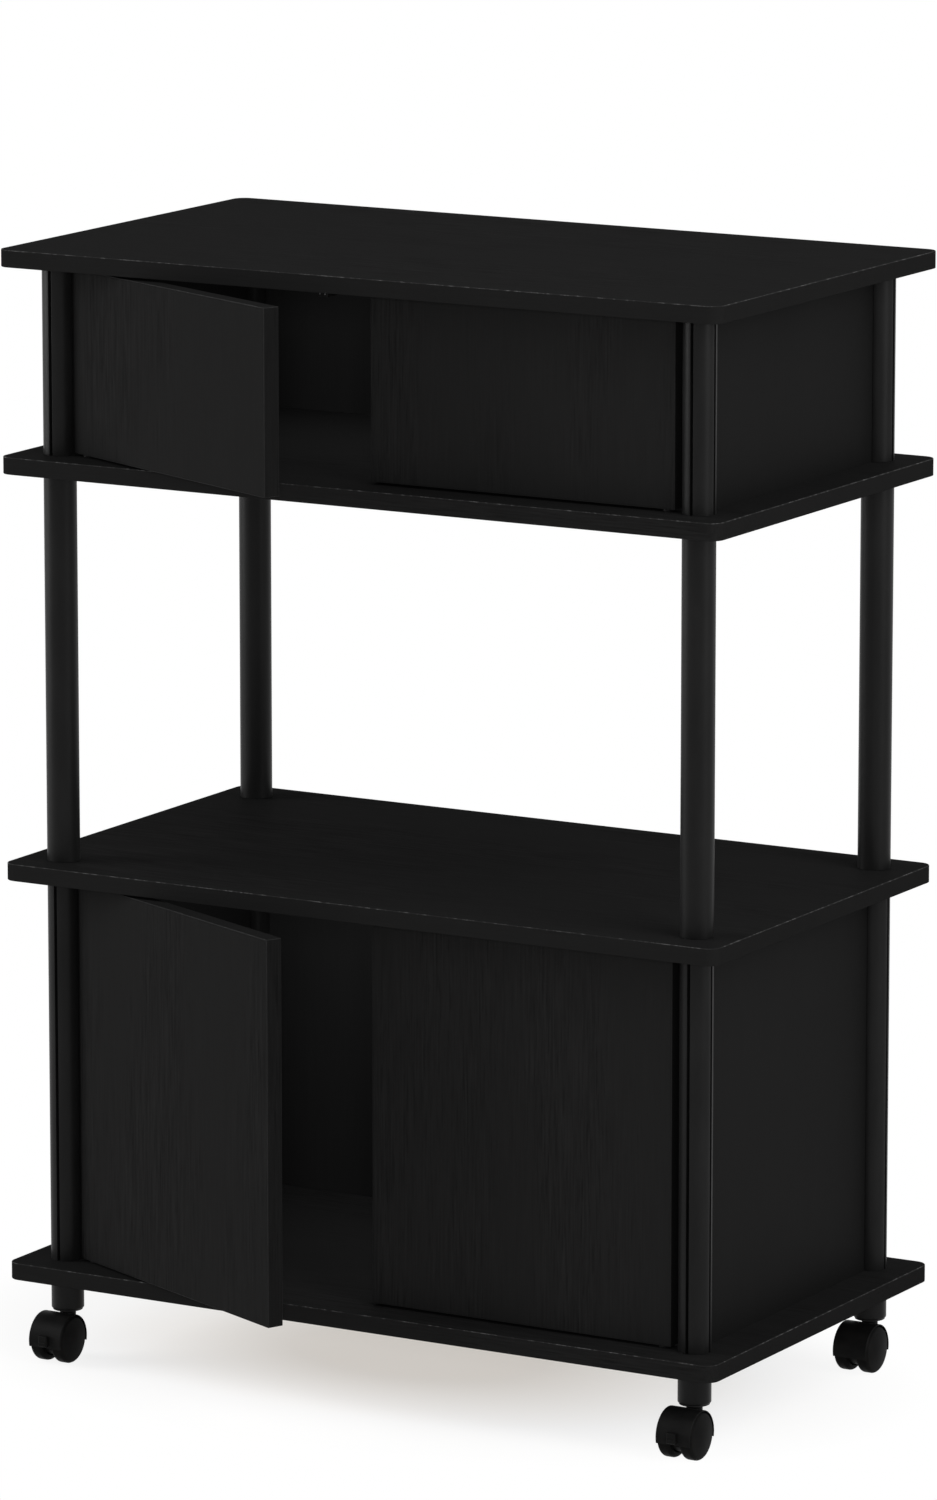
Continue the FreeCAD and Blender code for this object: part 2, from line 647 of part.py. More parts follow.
def make_hood(name, braked):
    """Web, wheel guard and swivel boss in one piece; a braked hood has room for its lever."""
    axle_y = "-Sizes.caster_trail"
    axle_z = "Sizes.wheel_radius"
    drum = add_cross_rod(f"{name}_drum", hood_radius, hood_width, f"-{hood_width} / 2", axle_y, axle_z)
    guard = add_rounding(f"{name}_guard", drum, "Sizes.hood_edge_round",
                         lambda edge: edge.BoundBox.YLength > number("Sizes.wheel_radius"))
    below_width = f"{hood_width} + 2 * Sizes.overrun"
    below_depth = f"2 * {hood_radius} + 2 * Sizes.overrun"
    below_height = f"{hood_radius} - Sizes.hood_skirt_drop + Sizes.overrun"
    below = add_box(f"{name}_below", below_width, below_depth, below_height,
                    f"-{hood_width} / 2 - Sizes.overrun",
                    f"{axle_y} - {hood_radius} - Sizes.overrun",
                    f"{axle_z} - Sizes.hood_skirt_drop - ({below_height})")
    skirt = add_cut(f"{name}_skirt", guard, [below])
    web = add_cross_rod(f"{name}_web", "Sizes.web_radius", "Sizes.web_thick",
                        "-Sizes.web_thick / 2", axle_y, axle_z)
    boss = add_cylinder(f"{name}_boss", "Sizes.boss_radius", "Sizes.boss_length",
                        z=f"{boss_top_z} - Sizes.boss_length")
    solid = add_fuse(f"{name}_solid", [skirt, web, boss])

    room_length = f"{hood_width} / 2 - Sizes.web_thick / 2 + Sizes.overrun"
    right_room = add_cross_rod(f"{name}_right_room", wheel_room, room_length,
                               "Sizes.web_thick / 2", axle_y, axle_z)
    left_room = add_cross_rod(f"{name}_left_room", wheel_room, room_length,
                              f"-Sizes.web_thick / 2 - ({room_length})", axle_y, axle_z)
    axle_bore = add_cross_rod(f"{name}_axle_bore", "Sizes.axle_radius + Sizes.fit_gap",
                              "Sizes.web_thick + 2 * Sizes.overrun",
                              "-Sizes.web_thick / 2 - Sizes.overrun", axle_y, axle_z)
    stem_bore = add_cylinder(f"{name}_stem_bore", "Sizes.stem_radius + Sizes.running_gap",
                             "Sizes.stem_drop + Sizes.overrun", z=f"{boss_top_z} - Sizes.stem_drop")
    cutters = [right_room, left_room, axle_bore, stem_bore]
    if braked:
        cutters += make_lever_room(name)
    return add_cut(name, solid, cutters)


lever_y = "(-Sizes.caster_trail - Sizes.lever_pivot_back)"
lever_z = "(Sizes.wheel_radius - Sizes.lever_pivot_drop)"


def make_lever_room(name):
    """The slot that the brake lever's arm swings in, and the bores for its pivot."""
    width = "(Sizes.lever_arm_width + 2 * Sizes.lever_side_gap)"
    depth = f"({hood_radius} - Sizes.lever_pivot_back + Sizes.lever_heel + Sizes.lever_heel_gap + Sizes.overrun)"
    low = "(Sizes.lever_arm_height / 2 + Sizes.lever_travel_room)"
    high = "(Sizes.lever_arm_height / 2 + 2 * Sizes.lever_side_gap)"
    slot = add_box(f"{name}_lever_slot", width, depth, f"{low} + {high}", f"-{width} / 2",
                   f"{lever_y} + Sizes.lever_heel + Sizes.lever_heel_gap - {depth}", f"{lever_z} - {low}")
    pivot_bore = add_cross_rod(f"{name}_lever_bore", "Sizes.lever_pin_radius + Sizes.running_gap",
                               "Sizes.web_thick + 2 * Sizes.overrun",
                               "-Sizes.web_thick / 2 - Sizes.overrun", lever_y, lever_z)
    return [slot, pivot_bore]


def make_lever(name):
    """A brake lever: an arm on a cross pin, with a foot tab in front of the hood."""
    tab_back_y = f"(-Sizes.caster_trail - {hood_radius} - Sizes.lever_tab_gap)"
    arm_length = f"({lever_y} + Sizes.lever_heel - {tab_back_y} + Sizes.lever_tab_round)"
    arm = add_box(f"{name}_arm", "Sizes.lever_arm_width", arm_length, "Sizes.lever_arm_height",
                  "-Sizes.lever_arm_width / 2", f"{lever_y} + Sizes.lever_heel - {arm_length}",
                  f"{lever_z} - Sizes.lever_arm_height / 2")
    tab = add_box(f"{name}_tab", "Sizes.lever_tab_width", "Sizes.lever_tab_thick", "Sizes.lever_tab_height",
                  "-Sizes.lever_tab_width / 2", f"{tab_back_y} - Sizes.lever_tab_thick",
                  f"{lever_z} + Sizes.lever_tab_rise - Sizes.lever_tab_height / 2")
    tab_front = number(f"{tab_back_y} - Sizes.lever_tab_thick / 2")
    soft_tab = add_rounding(f"{name}_soft_tab", tab, "Sizes.lever_tab_round",
                            lambda edge: edge.BoundBox.YMax < tab_front)
    pin_length = "Sizes.web_thick - 2 * Sizes.lever_side_gap"
    pin = add_cross_rod(f"{name}_pin", "Sizes.lever_pin_radius", pin_length,
                        f"-({pin_length}) / 2", lever_y, lever_z)
    return add_fuse(name, [arm, soft_tab, pin])


def make_stem(name):
    """The swivel pin in the hood, a collar, and a shank in the leg insert."""
    pin_z = f"({boss_top_z} - Sizes.stem_drop + Sizes.stem_collar_gap)"
    pin = add_cylinder(f"{name}_pin", "Sizes.stem_radius", f"Sizes.caster_height - {pin_z}", z=pin_z)
    collar = add_cylinder(f"{name}_collar", "Sizes.stem_collar_radius", "Sizes.stem_collar_thick",
                          z="Sizes.caster_height - Sizes.stem_collar_thick")
    shank = add_cylinder(f"{name}_shank", "Sizes.stem_shank_radius", "Sizes.stem_shank_length",
                         z="Sizes.caster_height")
    return add_fuse(name, [pin, collar, shank])


def make_insert(name):
    """A plug that fills a leg tube: a stem bore from below, a thread from above, a flange at its foot."""
    flange = add_cylinder(f"{name}_flange", "Sizes.tube_radius - Sizes.insert_flange_inset",
                          "Sizes.insert_flange_thick", z="Sizes.caster_height")
    core = add_cylinder(f"{name}_core", tube_plug, "Sizes.leg_length", z="Sizes.caster_height")
    solid = add_fuse(f"{name}_solid", [flange, core])
    stem_bore = add_cylinder(f"{name}_stem_bore", "Sizes.stem_shank_radius + Sizes.fit_gap",
                             "Sizes.stem_shank_length + Sizes.fit_gap + Sizes.overrun",
                             z="Sizes.caster_height - Sizes.overrun")
    thread_bore = add_cylinder(f"{name}_thread_bore", "Sizes.thread_radius",
                               "Sizes.stud_reach + Sizes.fit_gap + Sizes.overrun",
                               z=f"{bottom_board_z} - Sizes.stud_reach - Sizes.fit_gap")
    return add_cut(name, solid, [stem_bore, thread_bore])


caster_stems = []
leg_inserts = []
for place, side, end in corners:
    x = signed(side, post_x)
    y = signed(end, post_y)
    axle_y = f"{y} - Sizes.caster_trail"
    axle_z = "Sizes.wheel_radius"
    braked = end < 0
    hood = f"caster_hood_{place}"
    keep(hood, locate(make_hood(hood, braked), x, y))
    right_wheel = f"caster_wheel_right_{place}"
    keep(right_wheel, locate(make_wheel(right_wheel), x, axle_y, axle_z))
    left_wheel = f"caster_wheel_left_{place}"
    keep(left_wheel, locate(make_wheel(left_wheel), x, axle_y, axle_z, about_face))
    axle = f"caster_axle_{place}"
    half_axle = "(Sizes.caster_width / 2 - Sizes.wheel_cap_thick - Sizes.axle_end_gap)"
    keep(axle, add_cross_rod(axle, "Sizes.axle_radius", f"2 * {half_axle}", f"{x} - {half_axle}", axle_y, axle_z))
    if braked:
        lever = f"brake_lever_{place}"
        keep(lever, locate(make_lever(lever), x, y))
    caster_stems.append(locate(make_stem(f"caster_stem_{place}"), x, y))
    leg_inserts.append(locate(make_insert(f"leg_insert_{place}"), x, y))
keep("caster_stems", add_group("caster_stems", caster_stems))
keep("leg_inserts", add_group("leg_inserts", leg_inserts))


# Checks and export.
doc.recompute()
for item in doc.Objects:
    if "Invalid" in item.State or "Error" in item.State:
        raise RuntimeError(f"{item.Name} failed: {item.State}")
os.makedirs("parts", exist_ok=True)
for node, item in parts.items():
    if item.Label != node:
        raise RuntimeError(f"{node} has the label {item.Label}")
    shape = item.Shape
    if shape.isNull() or not shape.isValid() or not shape.Solids:
        raise RuntimeError(f"{node} has no valid solid")
    shape.exportStep(f"parts/{node}.step")
print(f"{len(parts)} sub-parts written")
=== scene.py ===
import json
import math

import bmesh
import bpy
from mathutils import Matrix, Vector


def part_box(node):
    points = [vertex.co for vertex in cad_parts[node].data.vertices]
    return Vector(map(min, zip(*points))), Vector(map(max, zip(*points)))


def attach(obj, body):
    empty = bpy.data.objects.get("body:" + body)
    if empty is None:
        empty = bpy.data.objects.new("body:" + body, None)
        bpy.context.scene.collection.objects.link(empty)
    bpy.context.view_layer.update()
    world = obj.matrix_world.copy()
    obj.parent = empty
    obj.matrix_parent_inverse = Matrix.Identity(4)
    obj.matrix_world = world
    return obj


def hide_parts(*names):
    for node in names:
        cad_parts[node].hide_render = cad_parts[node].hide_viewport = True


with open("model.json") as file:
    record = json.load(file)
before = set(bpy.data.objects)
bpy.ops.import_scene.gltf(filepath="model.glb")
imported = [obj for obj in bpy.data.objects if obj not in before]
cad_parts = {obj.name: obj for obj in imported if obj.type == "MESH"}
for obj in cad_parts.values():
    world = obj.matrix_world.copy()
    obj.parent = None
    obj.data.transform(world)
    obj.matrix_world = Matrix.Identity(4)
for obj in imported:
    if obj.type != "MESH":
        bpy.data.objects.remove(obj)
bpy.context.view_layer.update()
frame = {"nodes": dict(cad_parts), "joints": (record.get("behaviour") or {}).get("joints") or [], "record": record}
nodes = frame["nodes"]
joints = {joint["name"]: joint for joint in frame["joints"]}
corners = ("front_left", "front_right", "back_left", "back_right")
cabinets = ("upper", "lower")
hands = ("left", "right")
xAxis, yAxis, zAxis = range(3)

scene = bpy.context.scene
scene.view_settings.view_transform = "Standard"
print("frame loaded")


# Working by hand: selecting, placing and finishing a mesh

modelling = {
    "samePlace": 1e-6,  # places closer than this are one
    "shortestEdge": 0.0005,
    "straight": 0.99,  # the cosine from which a normal counts as along its axis
    "square": 0.1,  # the cosine under which it counts as square to it
    "smoothAngle": 40, "softenAngle": 35,
}


def clearSelection():
    if bpy.context.mode != "OBJECT":
        bpy.ops.object.mode_set(mode="OBJECT")
    bpy.ops.object.select_all(action="DESELECT")


def pick(piece):
    clearSelection()
    piece.select_set(True)
    bpy.context.view_layer.objects.active = piece


def settle(piece):  # its place goes into its mesh
    pick(piece)
    bpy.ops.object.transform_apply(location=True, rotation=True, scale=True)
    return piece


def addBlock(name, low, high):
    clearSelection()
    bpy.ops.mesh.primitive_cube_add(size=1, location=(Vector(low) + Vector(high)) / 2)
    piece = bpy.context.object
    piece.name = name
    piece.scale = Vector(high) - Vector(low)
    return settle(piece)


def addRod(name, radius, start, end, sides):
    clearSelection()
    start, end = Vector(start), Vector(end)
    turn = (end - start).to_track_quat("Z", "Y").to_euler()
    bpy.ops.mesh.primitive_cylinder_add(vertices=sides, radius=radius, depth=(end - start).length,
                                        location=(start + end) / 2, rotation=turn)
    piece = bpy.context.object
    piece.name = name
    return settle(piece)


def choose(piece, kind, wanted):  # in edit mode, by place or normal
    kinds = ("VERT", "EDGE", "FACE")
    bpy.context.tool_settings.mesh_select_mode = tuple(kind == other for other in kinds)
    bpy.ops.mesh.select_all(action="DESELECT")
    mesh = bmesh.from_edit_mesh(piece.data)
    mesh.select_mode = {kind}
    for item in (mesh.verts, mesh.edges, mesh.faces)[kinds.index(kind)]:
        if wanted(item):
            item.select_set(True)
    mesh.select_flush_mode()
    bmesh.update_edit_mesh(piece.data)


def runsAlong(edge, axis):
    start, end = edge.verts
    return abs((start.co - end.co)[axis]) > modelling["shortestEdge"]


def liesAt(edge, axis, place):
    return all(abs(end.co[axis] - place) < modelling["samePlace"] for end in edge.verts)


def isFlat(face, axis):
    return abs(face.normal[axis]) > modelling["straight"]


def bevelEdges(radius, segments, material=-1):
    bpy.ops.mesh.bevel(offset=radius, segments=segments, profile=0.5, affect="EDGES",
                       clamp_overlap=False, material=material)


def insetFaces(thickness, depth=0.0):
    bpy.ops.mesh.inset(thickness=thickness, depth=depth, use_even_offset=True)


def pushFaces(distance):  # along X
    bpy.ops.mesh.extrude_region_move(TRANSFORM_OT_translate={"value": (distance, 0, 0)})


def applyModifier(piece, kind, **settings):
    pick(piece)
    change = piece.modifiers.new(kind.lower(), kind)
    for name, value in settings.items():
        setattr(change, name, value)
    bpy.ops.object.modifier_apply(modifier=change.name)


def carve(piece, cutters, operation="DIFFERENCE"):
    for cutter in cutters:
        applyModifier(piece, "BOOLEAN", operation=operation, object=cutter, solver="EXACT")
        bpy.data.objects.remove(cutter, do_unlink=True)


def softenEdges(piece, radius, segments=2, angle=modelling["softenAngle"]):
    applyModifier(piece, "BEVEL", width=radius, segments=segments, limit_method="ANGLE",
                  angle_limit=math.radians(angle), use_clamp_overlap=True)


def smooth(piece):
    pick(piece)
    bpy.ops.object.shade_smooth_by_angle(angle=math.radians(modelling["smoothAngle"]))
    applyModifier(piece, "WEIGHTED_NORMAL", keep_sharp=True)
    return piece


def faceOutwards(piece):
    pick(piece)
    bpy.ops.object.mode_set(mode="EDIT")
    bpy.ops.mesh.select_all(action="SELECT")
    bpy.ops.mesh.remove_doubles(threshold=modelling["samePlace"])
    bpy.ops.mesh.normals_make_consistent(inside=False)
    bpy.ops.object.mode_set(mode="OBJECT")


def copyTo(piece, name, shift):
    twin = piece.copy()
    twin.data = piece.data.copy()
    twin.name = name
    scene.collection.objects.link(twin)
    twin.data.transform(Matrix.Translation(shift))
    return twin


def joinPieces(name, pieces):
    clearSelection()
    for piece in pieces:
        piece.select_set(True)
    bpy.context.view_layer.objects.active = pieces[0]
    bpy.ops.object.join()
    pieces[0].name = name
    return pieces[0]


def show(piece, node, body, material=None):  # no material: the piece already has its own
    if material:
        piece.data.materials.clear()
        piece.data.materials.append(material)
    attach(piece, body)
    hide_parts(node)


# Finishes. A noise is given as its ripples a metre (one number, or one for each axis), detail and roughness.

class Value:  # an output of a node, so that sums on it read as sums
    def __init__(self, graph, socket):
        self.graph = graph
        self.socket = socket

    def math(self, operation, first, second):
        return self.graph.node("ShaderNodeMath", {"operation": operation}, {0: first, 1: second})

    def __add__(self, other):
        return self.math("ADD", self, other)

    def __radd__(self, other):
        return self.math("ADD", other, self)

    def __sub__(self, other):
        return self.math("SUBTRACT", self, other)

    def __rsub__(self, other):
        return self.math("SUBTRACT", other, self)

    def __mul__(self, other):
        return self.math("MULTIPLY", self, other)

    def __rmul__(self, other):
        return self.math("MULTIPLY", other, self)


class Graph:  # a node tree, with one method that adds a node, its settings and what its sockets get
    def __init__(self, tree):
        self.tree = tree
        self.tree.nodes.clear()

    def node(self, kind, settings=None, inputs=None, output=0):
        made = self.tree.nodes.new(kind)
        for name, value in (settings or {}).items():
            setattr(made, name, value)
        for name, value in (inputs or {}).items():
            self.feed(made.inputs[name], value)
        return Value(self, made.outputs[output])

    def feed(self, socket, value):
        if isinstance(value, Value):
            self.tree.links.new(value.socket, socket)
        else:
            socket.default_value = value


class Finish(Graph):  # a material with one Principled shader
    def __init__(self, name, **constants):
        self.material = bpy.data.materials.new(name)
        self.material.use_nodes = True
        super().__init__(self.material.node_tree)
        self.shader = self.tree.nodes.new("ShaderNodeBsdfPrincipled")
        self.output = self.tree.nodes.new("ShaderNodeOutputMaterial")
        self.tree.links.new(self.shader.outputs["BSDF"], self.output.inputs["Surface"])
        for socket, value in constants.items():
            self.shader.inputs[socket.replace("_", " ")].default_value = value
        self.place = self.node("ShaderNodeTexCoord", output="Object")

    def set(self, name, value):
        self.feed(self.shader.inputs[name], value)

    def stretch(self, scales, shift=(0, 0, 0)):
        inputs = {"Vector": self.place, "Scale": scales, "Location": shift}
        return self.node("ShaderNodeMapping", {}, inputs)

    def noise(self, scales, detail, roughness):
        if not isinstance(scales, tuple):
            scales = (scales, scales, scales)
        inputs = {"Vector": self.stretch(scales), "Scale": 1.0, "Detail": detail, "Roughness": roughness}
        return self.node("ShaderNodeTexNoise", {"noise_dimensions": "3D"}, inputs)

    def between(self, value, low, high):  # 0 below low, 1 above high
        inputs = {"Value": value, "From Min": low, "From Max": high}
        return self.node("ShaderNodeMapRange", {"clamp": True}, inputs)

    def blend(self, amount, first, second):
        settings = {"data_type": "RGBA", "blend_type": "MIX"}
        return self.node("ShaderNodeMix", settings, {0: amount, 6: first, 7: second}, output=2)

    def bump(self, height):  # in metres
        inputs = {"Height": height, "Distance": 1.0, "Strength": 1.0}
        self.set("Normal", self.node("ShaderNodeBump", {}, inputs))


def grey(level, warmth=0.0):
    return (level * (1 + warmth), level, level * (1 - warmth), 1)


laminate = {
    "dark": 0.0080, "light": 0.0153, "specular": 0.0006, "roughness": 0.62, "streakSheen": 0.12,
    "streaks": {"along": 17, "across": 660, "detail": 3, "roughness": 0.62, "range": (0.36, 0.66)},
    "bands": {"along": 1.5, "across": 13, "detail": 2, "roughness": 0.5, "range": (0.46, 0.60)},
    "pores": {"along": 38, "across": 800, "detail": 1, "roughness": 0.5, "range": (0.30, 0.42)},
    "calmStreaks": 0.25, "middleTone": 0.42, "streakTone": 0.9, "poreTone": 0.4, "bandTone": 0.06,
    "streakBump": 0.00004, "poreBump": 0.00003,
}


def grainNoise(finish, axis, layer):
    scales = tuple(layer["along"] if other == axis else layer["across"] for other in (xAxis, yAxis, zAxis))
    return finish.noise(scales, layer["detail"], layer["roughness"])


def makeLaminate(name, axis, streakStrength, paleness):  # the grain runs along the axis
    finish = Finish(name, Specular_IOR_Level=laminate["specular"])
    streaks = grainNoise(finish, axis, laminate["streaks"])
    bands = grainNoise(finish, axis, laminate["bands"])
    pores = grainNoise(finish, axis, laminate["pores"])
    busy = finish.between(bands, *laminate["bands"]["range"])
    lines = finish.between(streaks, *laminate["streaks"]["range"])
    pits = 1 - finish.between(pores, *laminate["pores"]["range"])
    calm = laminate["calmStreaks"]
    amount = (lines - 0.5) * (calm + (1 - calm) * busy) * streakStrength
    tone = laminate["middleTone"] + amount * laminate["streakTone"]
    tone = tone - pits * busy * laminate["poreTone"] + laminate["bandTone"] * bands
    dark, light = grey(laminate["dark"] * paleness), grey(laminate["light"] * paleness)
    finish.set("Base Color", finish.blend(tone, dark, light))
    finish.set("Roughness", laminate["roughness"] - laminate["streakSheen"] * amount)
    finish.bump(amount * laminate["streakBump"] - pits * laminate["poreBump"])
    return finish.material


paintedEdgeHighlight = {
    "specular": 0.04, "dark": 0.010, "roughness": 0.62, "paleSheen": 0.22, "bump": 0.00002,
    "breaks": (120, 5, 0.75), "breakRange": (0.48, 0.60), "specks": (500, 2, 0.6), "speckRange": (0.35, 0.65),
    "leastSpeck": 0.3,
}


def makePaintedEdgeHighlight(name, paintedHighlight):  # a pale, broken line along the rounded rim where face and edge band meet: a painted highlight where light catches the edge
    finish = Finish(name, Specular_IOR_Level=paintedEdgeHighlight["specular"])
    broken = finish.between(finish.noise(*paintedEdgeHighlight["breaks"]), *paintedEdgeHighlight["breakRange"])
    fine = finish.between(finish.noise(*paintedEdgeHighlight["specks"]), *paintedEdgeHighlight["speckRange"])
    paintedHighlightMask = broken * (paintedEdgeHighlight["leastSpeck"] + (1 - paintedEdgeHighlight["leastSpeck"]) * fine)
    finish.set("Base Color", finish.blend(paintedHighlightMask, grey(paintedEdgeHighlight["dark"]), grey(paintedHighlight)))
    finish.set("Roughness", paintedEdgeHighlight["roughness"] - paintedEdgeHighlight["paleSheen"] * paintedHighlightMask)
    finish.bump(fine * paintedEdgeHighlight["bump"])
    return finish.material


hardboard = {
    "specular": 0.02, "roughness": 0.52, "cloudRoughness": 0.14, "bump": 0.00002,
    "fibres": ((620, 620, 16), 3, 0.6), "fibreRange": (0.35, 0.7), "fibreTone": 0.35,
    "clouds": ((9, 9, 3), 2, 0.5), "cloudTone": 0.45,
}


def makePanelFinish(name, dark, light):
    finish = Finish(name, Specular_IOR_Level=hardboard["specular"])
    fibres = finish.noise(*hardboard["fibres"])
    clouds = finish.noise(*hardboard["clouds"])
    tone = finish.between(fibres, *hardboard["fibreRange"]) * hardboard["fibreTone"]
    tone = tone + clouds * hardboard["cloudTone"]
    finish.set("Base Color", finish.blend(tone, grey(dark), grey(light)))
    finish.set("Roughness", hardboard["roughness"] + hardboard["cloudRoughness"] * clouds)
    finish.bump(fibres * hardboard["bump"])
    return finish.material


extruded = {
    "specular": 0.09, "dark": 0.0044, "light": 0.0064, "roughness": 0.33, "scuffRoughness": 0.10,
    "scuffs": ((45, 45, 12), 3, 0.6), "scuffRange": (0.4, 0.75), "lines": ((1300, 1300, 5), 2, 0.5),
    "bump": 0.000012,
}


def makeExtrudedPlastic(name):
    finish = Finish(name, Specular_IOR_Level=extruded["specular"])
    lines = finish.noise(*extruded["lines"])
    scuffs = finish.noise(*extruded["scuffs"])
    tone = finish.between(scuffs, *extruded["scuffRange"])
    finish.set("Base Color", finish.blend(tone, grey(extruded["dark"]), grey(extruded["light"])))
    finish.set("Roughness", extruded["roughness"] + extruded["scuffRoughness"] * scuffs)
    finish.bump(lines * extruded["bump"])
    return finish.material


moulded = {
    "sparks": (2600, 2, 0.6), "dust": (60, 3, 0.6), "dustRange": (0.4, 0.8), "dustWarmth": 0.03,
    "dustRoughness": 0.12,
}


def makeMouldedPlastic(name, dark, light, roughness, texture, specular):
    finish = Finish(name, Specular_IOR_Level=specular)
    sparks = finish.noise(*moulded["sparks"])
    dust = finish.noise(*moulded["dust"])
    tone = finish.between(dust, *moulded["dustRange"])
    finish.set("Base Color", finish.blend(tone, grey(dark), grey(light, moulded["dustWarmth"])))
    finish.set("Roughness", roughness + moulded["dustRoughness"] * dust)
    finish.bump(sparks * texture)
    return finish.material


plated = {
    "brushed": ((2200, 90, 2200), 2, 0.5), "clouds": (120, 2, 0.5), "roughness": 0.26, "brushRoughness": 0.18,
    "dark": (0.42, 0.43, 0.45, 1), "light": (0.62, 0.62, 0.61, 1), "bump": 0.000006,
}


def makeSteel(name):
    finish = Finish(name, Metallic=1.0)
    brushed = finish.noise(*plated["brushed"])
    clouds = finish.noise(*plated["clouds"])
    finish.set("Base Color", finish.blend(clouds, plated["dark"], plated["light"]))
    finish.set("Roughness", plated["roughness"] + plated["brushRoughness"] * brushed)
    finish.bump(brushed * plated["bump"])
    return finish.material


boardFinish = makeLaminate("boardLaminate", axis=xAxis, streakStrength=0.9, paleness=0.92)
boardBandFinish = makeLaminate("boardEdgeBand", axis=xAxis, streakStrength=0.6, paleness=0.78)
doorFinish = makeLaminate("doorLaminate", axis=zAxis, streakStrength=0.7, paleness=0.94)
doorBandFinish = makeLaminate("doorEdgeBand", axis=zAxis, streakStrength=0.6, paleness=0.60)
# The pale broken lines along board and door edges are painted highlights.
boardPaintedEdgeHighlight = makePaintedEdgeHighlight("boardPaintedEdgeHighlight", paintedHighlight=0.068)
doorEdgeLine = makePaintedEdgeHighlight("doorEdgeLine", paintedHighlight=0.012)
sidePanelFinish = makePanelFinish("sidePanelLaminate", dark=0.0045, light=0.0067)
# The back panels are paler than the side panels: painted light for the dim inside of the cabinets.
backPanelPaintedLightFinish = makePanelFinish("backPanelBoardPaintedLight", dark=0.0078, light=0.0114)
postFinish = makeExtrudedPlastic("extrudedPlastic")
fittingFinish = makeMouldedPlastic("fittingPlastic", dark=0.0060, light=0.0105, roughness=0.42,
                                   texture=0.000010, specular=0.15)
hoodFinish = makeMouldedPlastic("casterNylon", dark=0.0036, light=0.0064, roughness=0.38,
                                texture=0.000008, specular=0.035)
wheelFinish = makeMouldedPlastic("wheelNylon", dark=0.0034, light=0.0060, roughness=0.32,
                                 texture=0.000005, specular=0.012)
steel = makeSteel("zincPlatedSteel")
print("finishes made")


# Boards: round corners, trimmed edge bands, bores for studs and bushes

board = {
    "cornerRadius": 0.012, "cornerSegments": 12, "edgeRadius": 0.0006, "edgeSegments": 3,
    "bandThickness": 0.0011, "seamWidth": 0.0003, "seamDepth": 0.00015,
    "studBore": 0.00425, "studSink": 0.01025, "bushBore": 0.00405, "bushSink": 0.008, "boreSides": 32,
    "overrun": 0.002,
}


faceSlot, lineSlot, bandSlot = range(3)  # the material slots of a laminated piece


def dress(piece, bandAxes, *finishes):
    for finish in finishes:
        piece.data.materials.append(finish)
    for face in piece.data.polygons:
        banded = any(isFlat(face, axis) for axis in bandAxes)
        face.material_index = bandSlot if banded else faceSlot


def trimFaces(piece, axis):  # the fine groove where the face laminate meets the edge band
    choose(piece, "FACE", lambda face: isFlat(face, axis))
    insetFaces(board["bandThickness"])
    insetFaces(board["seamWidth"] / 2, -board["seamDepth"])
    insetFaces(board["seamWidth"] / 2, board["seamDepth"])


def isRim(edge, height):  # where the face of a board meets its edge band
    besideBand = any(abs(face.normal.z) < modelling["square"] for face in edge.link_faces)
    return liesAt(edge, zAxis, height) and besideBand


def drillBores(node, through, bushesAbove):
    low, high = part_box(node)
    bores = []

    def drill(joint, radius, start, end):
        x, y, _ = joints[joint]["pos_m"]
        bores.append(addRod("bore", radius, (x, y, start), (x, y, end), board["boreSides"]))

    below, above = low.z - board["overrun"], high.z + board["overrun"]
    for corner in corners:
        drill(f"swivel_{corner}", board["studBore"], below, above if through else low.z + board["studSink"])
    for hand in hands:
        if bushesAbove:
            drill(f"upper_{hand}_door_hinge", board["bushBore"], high.z - board["bushSink"], above)
        else:
            drill(f"upper_{hand}_door_hinge", board["bushBore"], below, low.z + board["bushSink"])
    return bores


def makeBoard(node, through, bushesAbove):
    low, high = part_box(node)
    piece = addBlock(f"{node}_laminated", low, high)
    dress(piece, (xAxis, yAxis), boardFinish, boardPaintedEdgeHighlight, boardBandFinish)
    bpy.ops.object.mode_set(mode="EDIT")
    choose(piece, "EDGE", lambda edge: runsAlong(edge, zAxis))
    bevelEdges(board["cornerRadius"], board["cornerSegments"])
    trimFaces(piece, zAxis)
    choose(piece, "EDGE", lambda edge: isRim(edge, low.z))
    bevelEdges(board["edgeRadius"], board["edgeSegments"])
    # The top rim takes the painted highlight line.
    choose(piece, "EDGE", lambda edge: isRim(edge, high.z))
    bevelEdges(board["edgeRadius"], board["edgeSegments"], material=lineSlot)
    bpy.ops.object.mode_set(mode="OBJECT")
    carve(piece, drillBores(node, through, bushesAbove))
    smooth(piece)
    show(piece, node, "root")


makeBoard("bottom_board", through=True, bushesAbove=True)
makeBoard("middle_shelf", through=True, bushesAbove=False)
makeBoard("upper_shelf", through=True, bushesAbove=True)
makeBoard("top_board", through=False, bushesAbove=False)
print("boards made")


# Posts, tubes and legs

post = {
    "slotWidth": 0.0028, "slotDepth": 0.0055, "lipRadius": 0.00035, "lipSegments": 3, "sides": 96,
    "boreRadius": 0.0065, "boreSides": 48, "wall": 0.0015, "overrun": 0.002,
    "legRadius": 0.0143, "footRound": 0.0013, "footSegments": 4,
}


